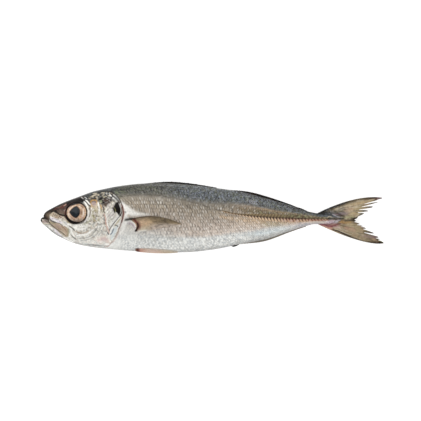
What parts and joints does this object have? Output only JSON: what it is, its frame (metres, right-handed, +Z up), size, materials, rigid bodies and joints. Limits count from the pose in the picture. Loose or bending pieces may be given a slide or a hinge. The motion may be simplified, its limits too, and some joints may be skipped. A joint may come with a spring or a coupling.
{
  "type": "whole raw fish",
  "caption": "Whole raw scad with large eyes, closed gill covers, folded fins and a forked tail, lying on its right side with the left flank up.",
  "frame": {"origin": "on the table, under the middle of the fish's bounding box", "axes": "+X from the snout towards the tail, +Y from the belly towards the back, +Z up out of the left flank"},
  "size_m": [0.277, 0.0574, 0.0358],
  "materials": {
    "skin": "wet silver fish skin, dark grey-blue on the back and pearl white on the belly, fins and fin rays in tan",
    "eye": "clear wet eyeball, dark blue-grey pupil in a pinkish-gold iris"
  },
  "bodies": {
    "root": {"body": "skin", "left_eye": "eye", "right_eye": "eye"}
  },
  "joints": []
}
